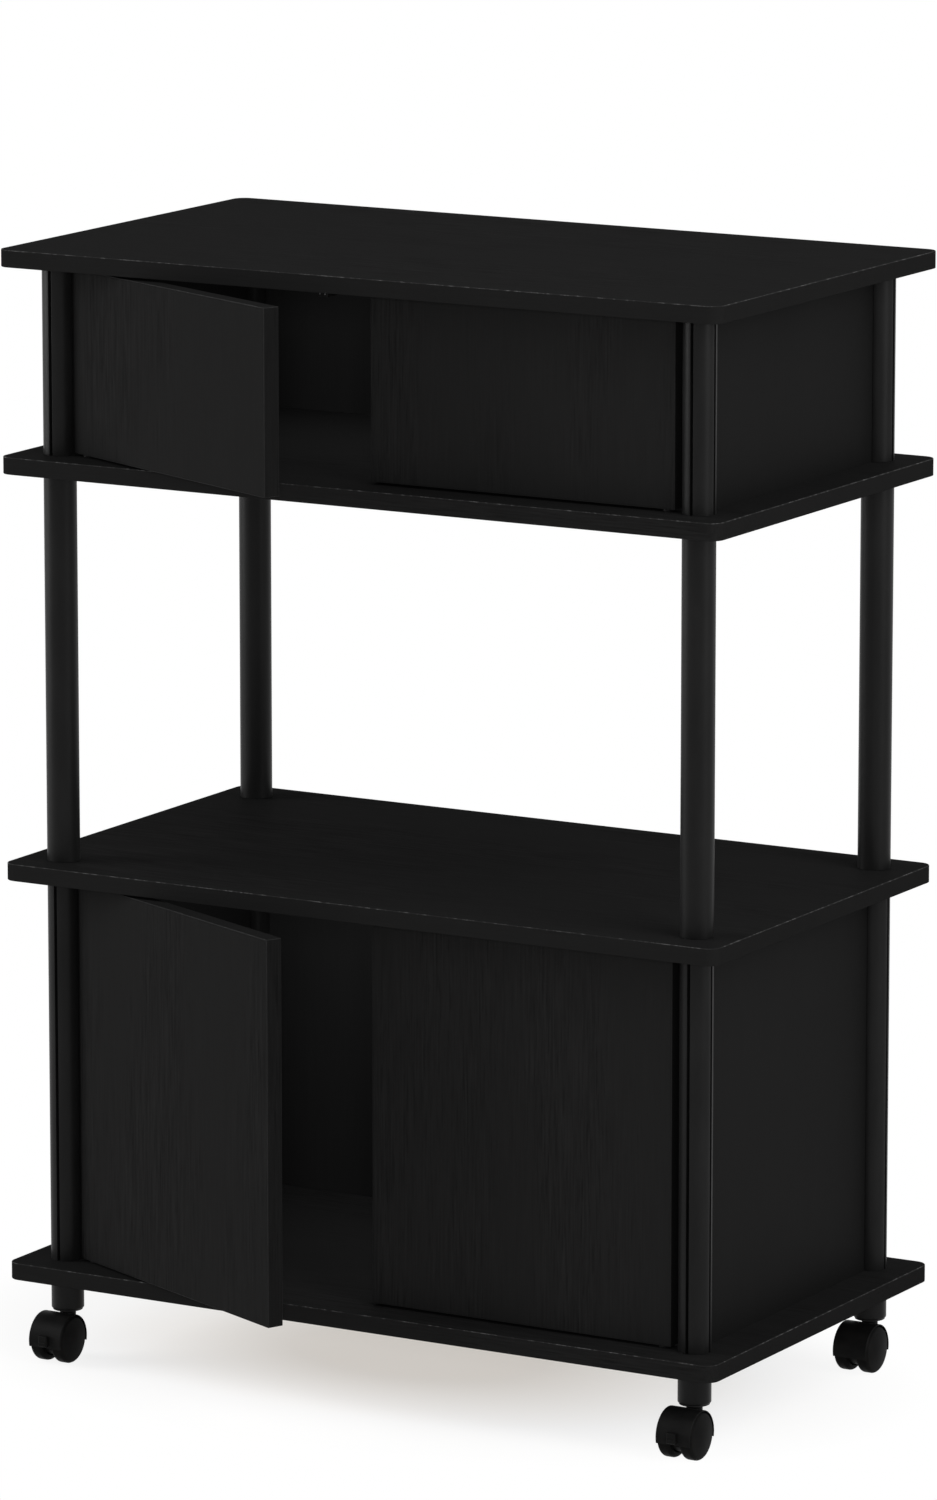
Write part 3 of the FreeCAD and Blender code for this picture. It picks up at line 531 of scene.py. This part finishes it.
def makePost(name, node, slotted):
    low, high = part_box(node)
    centre = (low + high) / 2
    radius = (high.x - low.x) / 2
    piece = addRod(name, radius, (centre.x, centre.y, low.z), (centre.x, centre.y, high.z), post["sides"])
    bottom, top = low.z - post["overrun"], high.z + post["overrun"]
    cutters = []
    if slotted:
        half, floor, out = post["slotWidth"] / 2, radius - post["slotDepth"], radius + post["overrun"]
        for left, right, front, back in ((floor, out, -half, half), (-out, -floor, -half, half),
                                         (-half, half, floor, out), (-half, half, -out, -floor)):
            slotLow = (centre.x + left, centre.y + front, bottom)
            slotHigh = (centre.x + right, centre.y + back, top)
            cutters.append(addBlock("slot", slotLow, slotHigh))
    bore = post["boreRadius"] if slotted else radius - post["wall"]
    start, end = (centre.x, centre.y, bottom), (centre.x, centre.y, top)
    cutters.append(addRod("bore", bore, start, end, post["boreSides"]))
    carve(piece, cutters)
    softenEdges(piece, post["lipRadius"], post["lipSegments"])
    return smooth(piece)


def raisePosts(kind, slotted):
    first = None
    for corner in corners:
        node = f"{kind}_{corner}"
        name = f"{node}_extrusion"
        if first is None:
            first = makePost(name, node, slotted)
            piece, start = first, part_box(node)[0]
        else:
            piece = copyTo(first, name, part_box(node)[0] - start)
        show(piece, node, "root", postFinish)


def makeLegTubes():
    low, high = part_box("leg_tubes")
    radius, overrun = post["legRadius"], post["overrun"]
    tubes = []
    for corner in corners:
        x, y, _ = joints[f"swivel_{corner}"]["pos_m"]
        tube = addRod("leg", radius, (x, y, low.z), (x, y, high.z), post["sides"])
        bpy.ops.object.mode_set(mode="EDIT")
        choose(tube, "EDGE", lambda edge: liesAt(edge, zAxis, low.z))
        bevelEdges(post["footRound"], post["footSegments"])
        bpy.ops.object.mode_set(mode="OBJECT")
        start, end = (x, y, low.z - overrun), (x, y, high.z + overrun)
        carve(tube, [addRod("bore", radius - post["wall"], start, end, post["boreSides"])])
        tubes.append(tube)
    legs = smooth(joinPieces("leg_tubes_extrusion", tubes))
    show(legs, "leg_tubes", "root", postFinish)


raisePosts("upper_post", slotted=True)
raisePosts("lower_post", slotted=True)
raisePosts("middle_tube", slotted=False)
makeLegTubes()
print("posts made")


# Doors: built shut about their pivot, the left ones then turned to where they stand open

door = {
    "edgeRadius": 0.0006, "edgeSegments": 3, "pinBore": 0.00305, "pinDepth": 0.01205, "boreSides": 32,
    "overrun": 0.002,
}


def doorTurn(cabinet, hand):  # how a shut door turns to its place at rest
    joint = joints[f"{cabinet}_{hand}_door_hinge"]
    pivot = Vector(joint["pos_m"])
    angle = -joint["range_deg"][1] if hand == "left" else 0
    turn = Matrix.Rotation(math.radians(angle), 4, "Z")
    return Matrix.Translation(pivot) @ turn @ Matrix.Translation(-pivot)


def shutBox(node, hand):  # a left door is the mirror image of the shut right one
    low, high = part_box(node.replace("left", "right"))
    if hand == "right":
        return low, high
    return Vector((-high.x, low.y, low.z)), Vector((-low.x, high.y, high.z))


def isCorner(vert, low, high):
    gaps = (min(abs(vert.co[axis] - low[axis]), abs(vert.co[axis] - high[axis]))
            for axis in (xAxis, yAxis, zAxis))
    return max(gaps) < modelling["samePlace"]


def makeDoor(cabinet, hand):
    node = f"{cabinet}_{hand}_door"
    low, high = shutBox(node, hand)
    piece = addBlock(f"{node}_laminated", low, high)
    dress(piece, (xAxis,), doorFinish, doorEdgeLine, doorBandFinish)
    bpy.ops.object.mode_set(mode="EDIT")
    trimFaces(piece, yAxis)
    # All door edges take the painted highlight line.
    choose(piece, "EDGE", lambda edge: all(isCorner(vert, low, high) for vert in edge.verts))
    bevelEdges(door["edgeRadius"], door["edgeSegments"], material=lineSlot)
    bpy.ops.object.mode_set(mode="OBJECT")
    x, y, _ = joints[f"{node}_hinge"]["pos_m"]
    depth, overrun = door["pinDepth"], door["overrun"]
    cutters = []
    for inside, outside in ((low.z + depth, low.z - overrun), (high.z - depth, high.z + overrun)):
        cutters.append(addRod("pinBore", door["pinBore"], (x, y, outside), (x, y, inside), door["boreSides"]))
    carve(piece, cutters)
    smooth(piece)
    piece.data.transform(doorTurn(cabinet, hand))
    show(piece, node, node)


for cabinet in cabinets:
    for hand in hands:
        makeDoor(cabinet, hand)
print("doors made")


# Catches behind the closed doors, and the plates that meet them

catch = {
    "offset": 0.054, "width": 0.010, "depth": 0.026, "height": 0.011,
    "cornerRound": 0.001, "cornerSegments": 4, "footRound": 0.0004, "footSegments": 2,
    "poleWidth": 0.0012, "poleHeight": 0.007, "poleInset": 0.0025, "poleProud": 0.0001, "poleSink": 0.003,
    "poleRound": 0.0002, "pegRadius": 0.0025, "pegSides": 32, "pegRoot": 0.001, "pegLength": 0.009,
}
strike = {
    "thick": 0.001, "cornerRound": 0.0012, "cornerSegments": 4, "rimWidth": 0.0002, "slopeWidth": 0.0006,
    "slopeDepth": 0.00008, "dentRadius": 0.0028, "dentDepth": 0.0003, "dentSides": 32, "overrun": 0.001,
    "edgeRound": 0.00015, "spikeRadius": 0.0015, "spikeSides": 24, "spikeReach": 0.009, "spikeRoot": 0.0006,
}


def makeCatch(side, ceiling):  # housing, peg and two steel poles; side: -1 on the left, 1 on the right
    x, front = side * catch["offset"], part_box("door_catches")[0].y
    low = (x - catch["width"] / 2, front, ceiling - catch["height"])
    high = (x + catch["width"] / 2, front + catch["depth"], ceiling)
    housing = addBlock("housing", low, high)
    bpy.ops.object.mode_set(mode="EDIT")
    choose(housing, "EDGE", lambda edge: runsAlong(edge, zAxis))
    bevelEdges(catch["cornerRound"], catch["cornerSegments"])
    choose(housing, "EDGE", lambda edge: liesAt(edge, zAxis, low[2]))
    bevelEdges(catch["footRound"], catch["footSegments"])
    bpy.ops.object.mode_set(mode="OBJECT")
    housing.data.materials.append(fittingFinish)
    poles = []
    for turn in (-1, 1):
        middle = x + turn * (catch["width"] / 2 - catch["poleInset"])
        bottom = low[2] + (catch["height"] - catch["poleHeight"]) / 2
        poleLow = (middle - catch["poleWidth"] / 2, front - catch["poleProud"], bottom)
        poleHigh = (middle + catch["poleWidth"] / 2, front + catch["poleSink"], bottom + catch["poleHeight"])
        pole = addBlock("pole", poleLow, poleHigh)
        softenEdges(pole, catch["poleRound"])
        pole.data.materials.append(steel)
        poles.append(pole)
    y = front + catch["depth"] / 2
    start, end = (x, y, ceiling - catch["pegRoot"]), (x, y, ceiling + catch["pegLength"])
    peg = addRod("peg", catch["pegRadius"], start, end, catch["pegSides"])
    peg.data.materials.append(fittingFinish)
    return [housing, peg] + poles


def makeCatches():
    parts = []
    for ceiling in (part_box("top_board")[0].z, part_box("middle_shelf")[0].z):
        for side in (-1, 1):
            parts += makeCatch(side, ceiling)
    catches = smooth(joinPieces("door_catches_moulded", parts))
    show(catches, "door_catches", "root")


def makeStrike(cabinet, hand):
    node = f"{cabinet}_{hand}_strike_plate"
    low, high = shutBox(node, hand)
    back = high.y
    plate = addBlock(f"{node}_pressed", (low.x, back - strike["thick"], low.z), high)
    bpy.ops.object.mode_set(mode="EDIT")
    choose(plate, "EDGE", lambda edge: runsAlong(edge, yAxis))
    bevelEdges(strike["cornerRound"], strike["cornerSegments"])
    choose(plate, "FACE", lambda face: isFlat(face, yAxis) and face.normal.y > 0)
    insetFaces(strike["rimWidth"])
    insetFaces(strike["slopeWidth"], -strike["slopeDepth"])
    bpy.ops.object.mode_set(mode="OBJECT")
    x, z = (low.x + high.x) / 2, (low.z + high.z) / 2
    start, end = (x, back - strike["dentDepth"], z), (x, back + strike["overrun"], z)
    carve(plate, [addRod("dent", strike["dentRadius"], start, end, strike["dentSides"])])
    softenEdges(plate, strike["edgeRound"])
    start, end = (x, back - strike["spikeReach"], z), (x, back - strike["spikeRoot"], z)
    spike = addRod("spike", strike["spikeRadius"], start, end, strike["spikeSides"])
    plate = joinPieces(plate.name, [plate, spike])
    smooth(plate)
    if hand == "left":
        plate.data.transform(doorTurn(cabinet, hand))
    show(plate, node, f"{cabinet}_{hand}_door", steel)


makeCatches()
for cabinet in cabinets:
    for hand in hands:
        makeStrike(cabinet, hand)
print("catches made")


# Casters, drawn about a swivel axis at the origin and copied to their corners

caster = {
    "trail": 0.0167, "wheelRadius": 0.0208, "edgeRound": 0.00022, "edgeAngle": 30,
    "hoodRadius": 0.0222, "hoodWidth": 0.0328, "hoodRim": 0.0011, "rimSegments": 4, "hoodSides": 160,
    "skirtHeight": 0.016, "cutHalfWidth": 0.02, "cutHalfDepth": 0.03, "cutBottom": -0.01,
    "roomRadius": 0.0213, "webThick": 0.008, "webRadius": 0.015, "webSides": 96,
    "bossRadius": 0.007, "bossTop": 0.0427, "bossLength": 0.015, "bossSides": 64,
    "stemBore": 0.00285, "stemDrop": 0.018, "stemOverrun": 0.002, "axleBore": 0.00205, "boreHalfLength": 0.01,
    "boreSides": 32,
}
wheel = {
    "inner": 0.0045, "outer": 0.0167, "rimRound": 0.0036, "rimSegments": 8, "sides": 128,
    "domeStep": 0.0032, "domeRises": (0.00052, 0.00042, 0.00032, 0.00022, 0.0001),
    "recess": 0.005, "rimWall": 0.0045, "hub": 0.005, "bore": 0.00205, "boreEnd": 0.0158,
    "edgeRound": 0.0002, "edgeAngle": 60,
}
lever = {
    "pivot": (-0.0267, 0.0188), "armWidth": 0.0034, "armHeight": 0.004, "armRound": 0.0004, "armSink": 0.002,
    "heel": 0.0025, "tabWidth": 0.0085, "tabHeight": 0.0095, "tabRise": 0.004, "tabThick": 0.003,
    "tabFront": -0.0424, "tabRound": 0.001, "tabSegments": 4, "lipHeight": 0.0036, "lipProud": 0.0008,
    "lipInset": 0.0006, "lipLift": 0.0004, "lipSink": 0.0015, "lipRound": 0.0007, "lipSegments": 3,
    "pinRadius": 0.0012, "pinHalfLength": 0.0037, "pinSides": 32, "pinGap": 0.00005, "pinBoreSides": 24,
    "slotHalfWidth": 0.002, "slotFront": 0.02, "slotBack": 0.0033, "slotBelow": 0.006, "slotAbove": 0.0026,
}


def isCap(face, side):  # a round end of the wheel, the only face there with more than four corners
    return face.normal.x * side > modelling["straight"] and len(face.verts) > 4


def makeWheel(side):  # side: 1 for the wheel on the right of the web
    inner, outer = wheel["inner"], wheel["outer"]
    start, end = (side * inner, 0, 0), (side * outer, 0, 0)
    piece = addRod("wheel", caster["wheelRadius"], start, end, wheel["sides"])
    bpy.ops.object.mode_set(mode="EDIT")
    for place in (outer, inner):
        choose(piece, "EDGE", lambda edge: liesAt(edge, xAxis, side * place))
        bevelEdges(wheel["rimRound"], wheel["rimSegments"])
    choose(piece, "FACE", lambda face: isCap(face, side))
    for rise in wheel["domeRises"]:
        insetFaces(wheel["domeStep"], rise)
    choose(piece, "FACE", lambda face: isCap(face, -side))
    insetFaces(wheel["rimWall"] - wheel["rimRound"])
    pushFaces(side * wheel["recess"])
    insetFaces(caster["wheelRadius"] - wheel["rimWall"] - wheel["hub"])
    pushFaces(-side * wheel["recess"])
    insetFaces(wheel["hub"] - wheel["bore"])
    pushFaces(side * (wheel["boreEnd"] - inner))
    bpy.ops.object.mode_set(mode="OBJECT")
    faceOutwards(piece)
    softenEdges(piece, wheel["edgeRound"], angle=wheel["edgeAngle"])
    return smooth(piece)


def makeHood(braked):
    trail, axle, top = -caster["trail"], caster["wheelRadius"], caster["bossTop"]
    half, wide, deep = caster["hoodWidth"] / 2, caster["cutHalfWidth"], caster["cutHalfDepth"]
    boreHalf, webHalf = caster["boreHalfLength"], caster["webThick"] / 2

    def addCross(name, radius, start, end, sides):  # a rod along the axle
        return addRod(name, radius, (start, trail, axle), (end, trail, axle), sides)

    hood = addCross("hood", caster["hoodRadius"], -half, half, caster["hoodSides"])
    bpy.ops.object.mode_set(mode="EDIT")
    choose(hood, "EDGE", lambda edge: not runsAlong(edge, xAxis))
    bevelEdges(caster["hoodRim"], caster["rimSegments"])
    bpy.ops.object.mode_set(mode="OBJECT")
    cutLow = (-wide, trail - deep, caster["cutBottom"])
    cutHigh = (wide, trail + deep, caster["skirtHeight"])
    carve(hood, [addBlock("below", cutLow, cutHigh)])
    web = addCross("web", caster["webRadius"], -webHalf, webHalf, caster["webSides"])
    start, end = (0, 0, top - caster["bossLength"]), (0, 0, top)
    boss = addRod("boss", caster["bossRadius"], start, end, caster["bossSides"])
    carve(hood, [web, boss], "UNION")
    cutters = [addCross("room", caster["roomRadius"], side * webHalf, side * wide, caster["hoodSides"])
               for side in (-1, 1)]
    cutters.append(addCross("axleBore", caster["axleBore"], -boreHalf, boreHalf, caster["boreSides"]))
    start, end = (0, 0, top - caster["stemDrop"]), (0, 0, top + caster["stemOverrun"])
    cutters.append(addRod("stemBore", caster["stemBore"], start, end, caster["boreSides"]))
    if braked:
        y, z = lever["pivot"]
        slotLow = (-lever["slotHalfWidth"], y - lever["slotFront"], z - lever["slotBelow"])
        slotHigh = (lever["slotHalfWidth"], y + lever["slotBack"], z + lever["slotAbove"])
        cutters.append(addBlock("leverSlot", slotLow, slotHigh))
        bore = lever["pinRadius"] + lever["pinGap"]
        cutters.append(addRod("pinBore", bore, (-boreHalf, y, z), (boreHalf, y, z), lever["pinBoreSides"]))
    carve(hood, cutters)
    softenEdges(hood, caster["edgeRound"], angle=caster["edgeAngle"])
    return smooth(hood)


def makeLever():
    y, z = lever["pivot"]
    front = lever["tabFront"]
    armHalf, armRise, tabHalf = lever["armWidth"] / 2, lever["armHeight"] / 2, lever["tabWidth"] / 2
    arm = addBlock("arm", (-armHalf, front + lever["armSink"], z - armRise),
                   (armHalf, y + lever["heel"], z + armRise))
    softenEdges(arm, lever["armRound"])
    bottom = z + lever["tabRise"] - lever["tabHeight"] / 2
    top = z + lever["tabRise"] + lever["tabHeight"] / 2
    tab = addBlock("tab", (-tabHalf, front, bottom), (tabHalf, front + lever["tabThick"], top))
    bpy.ops.object.mode_set(mode="EDIT")
    choose(tab, "EDGE", lambda edge: liesAt(edge, yAxis, front))
    bevelEdges(lever["tabRound"], lever["tabSegments"])
    bpy.ops.object.mode_set(mode="OBJECT")
    lipHalf, foot = tabHalf - lever["lipInset"], bottom + lever["lipLift"]
    lip = addBlock("lip", (-lipHalf, front - lever["lipProud"], foot),
                   (lipHalf, front + lever["lipSink"], foot + lever["lipHeight"]))
    softenEdges(lip, lever["lipRound"], lever["lipSegments"])
    pinHalf = lever["pinHalfLength"]
    pin = addRod("pin", lever["pinRadius"], (-pinHalf, y, z), (pinHalf, y, z), lever["pinSides"])
    carve(tab, [arm, lip, pin], "UNION")
    return smooth(tab)


wheelParts = {"left": makeWheel(-1), "right": makeWheel(1)}
hoodParts = {braked: makeHood(braked) for braked in (True, False)}
leverPart = makeLever()
for corner in corners:
    x, y, _ = joints[f"swivel_{corner}"]["pos_m"]
    braked = corner.startswith("front")
    node = f"caster_hood_{corner}"
    piece = copyTo(hoodParts[braked], f"{node}_moulded", (x, y, 0))
    show(piece, node, f"caster_{corner}", hoodFinish)
    for hand in hands:
        node = f"caster_wheel_{hand}_{corner}"
        piece = copyTo(wheelParts[hand], f"{node}_moulded", joints[f"roll_{hand}_{corner}"]["pos_m"])
        show(piece, node, f"{hand}_wheel_{corner}", wheelFinish)
    if braked:
        node = f"brake_lever_{corner}"
        piece = copyTo(leverPart, f"{node}_moulded", (x, y, 0))
        show(piece, node, f"brake_{corner}", hoodFinish)
for pattern in [*wheelParts.values(), *hoodParts.values(), leverPart]:
    bpy.data.objects.remove(pattern, do_unlink=True)
print("casters made")


# Pieces that stay as CAD made them: panels, and what is held inside

plainFinishes = {"panel_board": sidePanelFinish, "fitting_plastic": fittingFinish, "steel": steel}
slots = {part["node"]: part["material_slot"] for part in frame["record"]["subparts"]}
for name, node in nodes.items():
    if not node.hide_render:
        # back panels take the paler tone, painted light for the cabinets' dim inside
        finish = backPanelPaintedLightFinish if "back_panel" in name else plainFinishes[slots[name]]
        node.data.materials.clear()
        node.data.materials.append(finish)
print("plain pieces finished")


# Floor, camera and light

floorLook = {
    "radius": 30, "sides": 96, "roughness": 0.9,
    "mottle": (3, 2, 0.5), "dark": 0.90, "light": 0.91, "warmth": 0.02,
    "nearWhiteness": 0.55, "depthScale": 1.5, "shadowShift": 0.05, "shadowRange": (0.12, 0.48),
    "paintedShadowTintRange": (0.10, 0.32), "paintedShadowTint": (1, 0.945, 0.88, 1),
}
white = (1, 1, 1, 1)


def raysThatSeeWhite(graph):  # camera, mirror and see-through rays, but not the light that falls on things
    seen = graph.node("ShaderNodeLightPath", output="Is Camera Ray")
    seen = seen + graph.node("ShaderNodeLightPath", output="Is Glossy Ray")
    return seen + graph.node("ShaderNodeLightPath", output="Is Transmission Ray")


def makeFloor():  # white, but for a soft shadow under the cart; the shadow's warm tint is painted into the floor's glow
    clearSelection()
    bpy.ops.mesh.primitive_circle_add(vertices=floorLook["sides"], radius=floorLook["radius"],
                                      fill_type="NGON")
    floor = bpy.context.object
    floor.name = "studioFloor"
    finish = Finish("studioFloor", Roughness=floorLook["roughness"], Specular_IOR_Level=0.0)
    mottle = finish.noise(*floorLook["mottle"])
    dark, light = grey(floorLook["dark"], floorLook["warmth"]), grey(floorLook["light"], floorLook["warmth"])
    finish.set("Base Color", finish.blend(mottle, dark, light))
    around = finish.stretch((1, floorLook["depthScale"], 1), (floorLook["shadowShift"], 0, 0))
    distance = finish.node("ShaderNodeVectorMath", {"operation": "LENGTH"}, {0: around}, output="Value")
    fade = finish.between(distance, *floorLook["shadowRange"])
    whiteness = floorLook["nearWhiteness"] + (1 - floorLook["nearWhiteness"]) * fade
    # Near the cart the glow is tinted warm: a painted shadow colour that fades out with distance.
    outsidePaintedShadowTint = finish.between(distance, *floorLook["paintedShadowTintRange"])
    glowWithPaintedShadowTint = finish.blend(outsidePaintedShadowTint, floorLook["paintedShadowTint"], white)
    paper = finish.node("ShaderNodeEmission", {}, {"Color": glowWithPaintedShadowTint, "Strength": 1.0})
    lit = Value(finish, finish.shader.outputs["BSDF"])
    share = raysThatSeeWhite(finish) * whiteness
    mixed = finish.node("ShaderNodeMixShader", {}, {0: share, 1: lit, 2: paper})
    finish.feed(finish.output.inputs["Surface"], mixed)
    floor.data.materials.append(finish.material)


def makeWorld(strength):
    world = bpy.data.worlds.new("studio")
    scene.world = world
    world.use_nodes = True
    studio = Graph(world.node_tree)
    output = studio.tree.nodes.new("ShaderNodeOutputWorld")
    lit = studio.node("ShaderNodeBackground", {}, {"Color": white, "Strength": strength})
    seen = studio.node("ShaderNodeBackground", {}, {"Color": white, "Strength": 1.0})
    mixed = studio.node("ShaderNodeMixShader", {}, {0: raysThatSeeWhite(studio), 1: lit, 2: seen})
    studio.feed(output.inputs["Surface"], mixed)


def addLight(name, place, aim, size, radiance, mirrored=True):
    light = bpy.data.lights.new(name, "AREA")
    light.shape = "RECTANGLE"
    light.size, light.size_y = size
    light.energy = radiance * math.pi * size[0] * size[1]
    lamp = bpy.data.objects.new(name, light)
    scene.collection.objects.link(lamp)
    lamp.location = place
    lamp.rotation_euler = (Vector(aim) - Vector(place)).to_track_quat("-Z", "Y").to_euler()
    lamp.visible_camera = False
    lamp.visible_glossy = mirrored


view = {
    "place": (3.592, -6.237, 1.957), "yaw": 29.935, "pitch": 11.1, "lens": 204, "sensor": 36, "farthest": 100,
}


def makeCamera():
    camera = bpy.data.cameras.new("photoCamera")
    camera.lens = view["lens"]
    camera.sensor_width = view["sensor"]
    camera.clip_end = view["farthest"]
    holder = bpy.data.objects.new("photoCamera", camera)
    scene.collection.objects.link(holder)
    holder.location = view["place"]
    holder.rotation_euler = (math.radians(90 - view["pitch"]), 0, math.radians(view["yaw"]))
    scene.camera = holder


# Place, aim, size, brightness (1 is as bright as white paper), and False where gloss doesn't mirror the lamp.
lights = {
    "overhead": ((0, -0.3, 3.4), (0, 0, 0.6), (3.2, 3.2), 0.2),
    "leftSoftbox": ((-3.4, -1.6, 1.6), (0, 0, 0.5), (1.8, 2.6), 8.3),
    "rightOverhead": ((2.6, -0.8, 3.0), (0, 0, 0.5), (2.0, 2.0), 4.7),
    "rightFill": ((3.6, -0.6, 1.4), (0, 0, 0.5), (1.6, 2.2), 3.7),
    "behindCamera": ((3.9, -6.75, 2.15), (0, 0, 0.6), (0.9, 0.9), 84, False),
    "upperCabinet": ((0, -0.01, 0.948), (0, -0.01, 0), (0.54, 0.27), 1.4, False),
    "lowerCabinet": ((0, -0.01, 0.413), (0, -0.01, 0), (0.54, 0.27), 2.5, False),
}
worldLevel = 0.35

makeFloor()
makeWorld(worldLevel)
for name, settings in lights.items():
    addLight(name, *settings)
makeCamera()
print("stage set")
